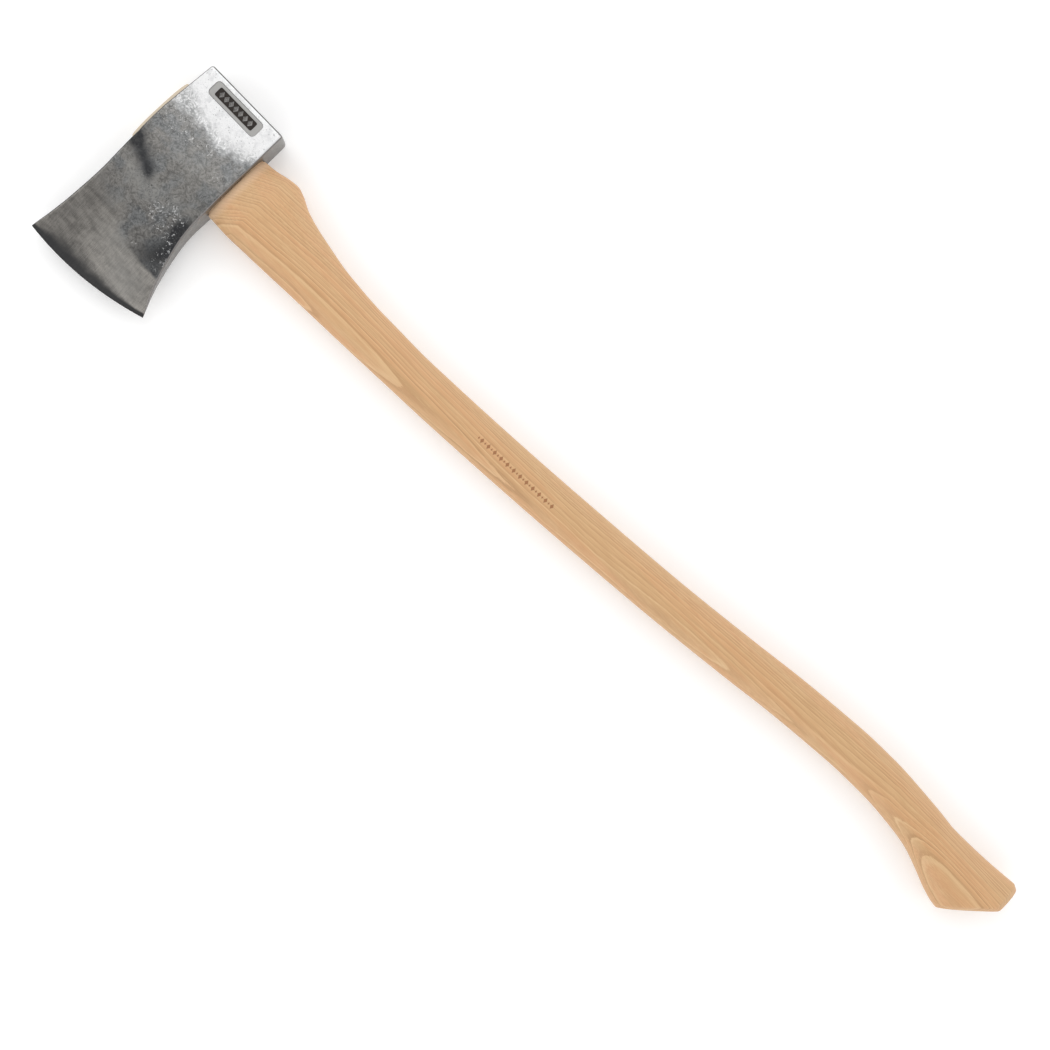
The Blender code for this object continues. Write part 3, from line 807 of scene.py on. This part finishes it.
def woodLook(name):
    p = wood
    look, tree, shader = newLook(name, 0.48)
    place, up, fore, z = placeIn(tree)
    # growth rings about a far pith, a little aslant to the handle
    sway = maths(tree, "SUBTRACT", noiseOf(tree, place, 26.0, 2, 0.5, stretch=(6.0, 1.0, 1.0)), 0.5)
    pithFore = curveOf(tree, up, p["pith"], -824.0, 90.0)
    across = maths(tree, "SUBTRACT", fore, pithFore)
    flatter = ramp(tree, up, -230.0, -60.0, 0.0, 0.9)
    flatZ = maths(tree, "MULTIPLY_ADD", maths(tree, "SUBTRACT", 14.0, z), flatter, z)
    deep = maths(tree, "SUBTRACT", flatZ, p["pithDeep"])
    squares = maths(tree, "MULTIPLY_ADD", across, across, maths(tree, "MULTIPLY", deep, deep))
    radius = maths(tree, "SQRT", squares)
    radius = maths(tree, "MULTIPLY_ADD", sway, 3.0, radius)
    shoulder = maths(tree, "MAXIMUM", maths(tree, "SUBTRACT", up, p["shoulderFrom"]), 0.0)
    radius = maths(tree, "MULTIPLY_ADD", maths(tree, "MINIMUM", shoulder, 30.0), p["shoulderSlope"], radius)
    knob = maths(tree, "MAXIMUM", maths(tree, "SUBTRACT", p["knobFrom"], up), 0.0)
    radius = maths(tree, "MULTIPLY_ADD", knob, p["knobEase"], radius)
    fine = maths(tree, "SUBTRACT", noiseOf(tree, place, 2.4, 3, 0.6, stretch=(9.0, 0.7, 0.7)), 0.5)
    radius = maths(tree, "MULTIPLY_ADD", fine, 0.45, radius)
    turns = maths(tree, "ADD", maths(tree, "DIVIDE", radius, p["ringWidth"]), p["ringShift"])
    years = addNode(tree, "ShaderNodeTexNoise", {"W": turns, "Scale": 0.4, "Detail": 1.0},
                    noise_dimensions="1D")
    turns = maths(tree, "MULTIPLY_ADD", years.outputs["Fac"], 1.6, turns)
    ring = maths(tree, "FRACT", turns)
    thisRing = addNode(tree, "ShaderNodeTexWhiteNoise", {"W": maths(tree, "FLOOR", turns)},
                       noise_dimensions="1D")
    bold = maths(tree, "MULTIPLY_ADD", thisRing.outputs["Value"], 0.65, 0.35)
    darkness = curveOf(tree, ring, [(0, 0.75), (0.10, 1.0), (0.32, 0.45), (0.7, 0.12), (1, 0.0)], 0.0, 1.0)
    paleness = curveOf(tree, ring, [(0, 0.0), (0.78, 0.0), (0.92, 1.0), (1, 0.3)], 0.0, 1.0)
    broad = noiseOf(tree, place, 9.0, 2, 0.5, stretch=(12.0, 1.0, 1.0))
    tone = mixColour(tree, ramp(tree, broad, 0.35, 0.65), p["base"], p["pink"])
    tone = mixColour(tree, maths(tree, "MULTIPLY", darkness, bold), tone, p["dark"])
    tone = mixColour(tree, maths(tree, "MULTIPLY", paleness, maths(tree, "MULTIPLY", bold, 0.8)),
                     tone, p["pale"])
    fibre = noiseOf(tree, place, 0.55, 3, 0.7, stretch=(45.0, 1.0, 1.0))
    tone = mixColour(tree, maths(tree, "MULTIPLY", ramp(tree, fibre, 0.45, 0.75), 0.5), tone, p["dark"])
    tone = mixColour(tree, maths(tree, "MULTIPLY", ramp(tree, fibre, 0.5, 0.3), 0.45), tone, p["pale"])
    pores = noiseOf(tree, place, 0.35, 2, 0.5, stretch=(16.0, 1.0, 1.0))
    pore = maths(tree, "MULTIPLY", ramp(tree, pores, 0.66, 0.72), ramp(tree, ring, 0.35, 0.0))
    tone = mixColour(tree, maths(tree, "MULTIPLY", pore, 0.6), tone, p["burnt"])
    # sawn end in the eye: pale
    tone = mixColour(tree, maths(tree, "MULTIPLY", ramp(tree, up, 81.0, 83.0), 0.8), tone, p["endPale"])
    # painted light close under the head, paler to lift the shade the head casts on the wood
    tone = mixColour(tree, ramp(tree, maths(tree, "ABSOLUTE", up), 11.0, 1.0, 0.0, 0.5), tone, p["paintedLightUnderHead"])
    # a burnt row of lozenges on the grip side
    row = addNode(
        tree, "ShaderNodeMapping",
        {"Vector": place, "Location": (*p["burnAt"], 0), "Rotation": (0, 0, math.radians(p["burnTurn"]))},
        vector_type="TEXTURE",
    )
    rowParts = addNode(tree, "ShaderNodeSeparateXYZ", {0: row.outputs[0]})
    along, aside = rowParts.outputs[0], rowParts.outputs[1]
    cell = maths(tree, "DIVIDE", along, p["burnPitch"])
    inCell = maths(tree, "ABSOLUTE", maths(tree, "SUBTRACT", maths(tree, "FRACT", cell), 0.5))
    odd = maths(tree, "FRACT", maths(tree, "MULTIPLY", maths(tree, "FLOOR", cell), 0.5))
    small = maths(tree, "MULTIPLY_ADD", odd, -1.0, 1.0)
    shape = maths(tree, "MULTIPLY_ADD", inCell, p["burnPitch"] / p["burnSize"][0],
                  maths(tree, "DIVIDE", maths(tree, "ABSOLUTE", aside), p["burnSize"][1]))
    burnt = ramp(tree, maths(tree, "DIVIDE", shape, small), 0.75, 1.05, 1.0, 0.0)
    burnt = maths(tree, "MULTIPLY", burnt,
                  maths(tree, "LESS_THAN", maths(tree, "ABSOLUTE", along), p["burnHalf"]))
    burnt = maths(tree, "MULTIPLY", burnt, maths(tree, "GREATER_THAN", z, 4.0))
    tone = mixColour(tree, maths(tree, "MULTIPLY", burnt, 0.9), tone, p["burnt"])
    tree.links.new(tone, shader.inputs["Base Color"])
    relief = maths(tree, "MULTIPLY_ADD", fibre, 0.6, maths(tree, "MULTIPLY", darkness, -0.15))
    relief = maths(tree, "MULTIPLY_ADD", burnt, -1.5, relief)
    addBump(tree, shader, relief, 0.05, 0.5)
    return look


def plainSteel(name, tone, spread, size):  # dull steel, hammered and oxidised
    look, tree, shader = newLook(name, 0.42, 1.0)
    place = placeIn(tree)[0]
    mottle = noiseOf(tree, place, size, 4, 0.65, warp=0.5)
    low, high = ([c * k for c in tone] for k in (1 - spread, 1 + spread))
    tree.links.new(mixColour(tree, ramp(tree, mottle, 0.3, 0.7), low, high), shader.inputs["Base Color"])
    tree.links.new(maths(tree, "MULTIPLY_ADD", mottle, 0.3, 0.25), shader.inputs["Roughness"])
    addBump(tree, shader, mottle, 0.2, 0.5)
    return look


studLook = plainSteel("studSteel", (0.17, 0.165, 0.16), 0.5, 1.2)
studStart = (studs["count"] - 1) * studs["pitch"] / 2
panelUp, panelFore = head["panelPlace"]
studFrom = toWorld((panelUp - studStart, panelFore, head["wellFloor"] + studs["rise"] / 2 - 0.1))
studRow = growFrom("panelStuds", studTree(studLook), {
    "Count": studs["count"], "Pitch": studs["pitch"] * mm,
    "Size": (studs["long"] / 2 * mm, studs["wide"] / 2 * mm, studs["rise"] * mm),
    "Top": studs["top"], "Start": tuple(studFrom),
})
finishPiece(axeHead, forgedSteel(), "forged_steel", "axe_head")
finishPiece(studRow, studLook, "forged_steel")
finishPiece(hickoryHandle, woodLook("hickory"), "hickory", "handle")
finishPiece(woodWedge, woodLook("poplar"), "wedge_wood", "wood_wedge")
finishPiece(steelWedge, plainSteel("wedgeSteel", (0.34, 0.34, 0.35), 0.35, 2.0), "wedge_steel", "steel_wedge")
print("looks set")


# ---- floor, light and camera

stage = {"floorSize": 40.0, "floorTone": 0.88, "floorGlow": 0.2,
         "sky": [(0, 0.8), (0.17, 0.85), (0.42, 1.75), (0.64, 1.75), (0.84, 0.36), (1, 0.36)],  # by height
         "softbox": 6.5, "softboxSize": (1.3, 1.3), "softboxPlace": (1.05, -0.60, 2.3)}

floorMesh = bpy.data.meshes.new("floor")
reach = stage["floorSize"] / 2
floorMesh.from_pydata([(-reach, -reach, 0), (reach, -reach, 0), (reach, reach, 0), (-reach, reach, 0)],
                      [], [(0, 1, 2, 3)])
floor = bpy.data.objects.new("floor", floorMesh)
bpy.context.scene.collection.objects.link(floor)
floor.location.z = -0.0002
floorLook, floorTree, floorShader = newLook("paleFloor", 0.9)
floorShader.inputs["Base Color"].default_value = (stage["floorTone"],) * 3 + (1.0,)
floorShader.inputs["Specular IOR Level"].default_value = 0.1
floorShader.inputs["Emission Color"].default_value = (1, 1, 1, 1)
floorShader.inputs["Emission Strength"].default_value = stage["floorGlow"]
floorMesh.materials.append(floorLook)

# pale studio walls all round, a dimmer ceiling
world = bpy.data.worlds.new("studio")
world.use_nodes = True
bpy.context.scene.world = world
sky = world.node_tree.nodes["Background"]
heading = addNode(world.node_tree, "ShaderNodeSeparateXYZ",
                  {0: addNode(world.node_tree, "ShaderNodeTexCoord").outputs["Generated"]})
overhead = curveOf(world.node_tree, heading.outputs[2], stage["sky"], 0.0, 1.0)
world.node_tree.links.new(overhead, sky.inputs["Strength"])
sky.inputs["Color"].default_value = (1, 1, 1, 1)

lamp = bpy.data.lights.new("softbox", "AREA")
lamp.shape, lamp.energy = "RECTANGLE", stage["softbox"]
lamp.size, lamp.size_y = stage["softboxSize"]
softbox = bpy.data.objects.new("softbox", lamp)
softbox.location = stage["softboxPlace"]
softboxAim = Vector((0.4, -0.05, 0)) - Vector(stage["softboxPlace"])      # towards the head
softbox.rotation_euler = softboxAim.to_track_quat("-Z", "Y").to_euler()
bpy.context.scene.collection.objects.link(softbox)

view = {"place": (0.0175, -0.0179, 1.3758), "turn": 225.82, "lens": 59.22}
camData = bpy.data.cameras.new("camera")
camData.lens, camData.sensor_width = view["lens"], 36.0
camera = bpy.data.objects.new("camera", camData)
camera.location = view["place"]
camera.rotation_euler = (0, 0, math.radians(view["turn"]))
bpy.context.scene.collection.objects.link(camera)
bpy.context.scene.camera = camera
bpy.context.scene.view_settings.view_transform = "Standard"
bpy.context.scene.view_settings.look = "None"

bpy.context.view_layer.update()
print("scene ready")
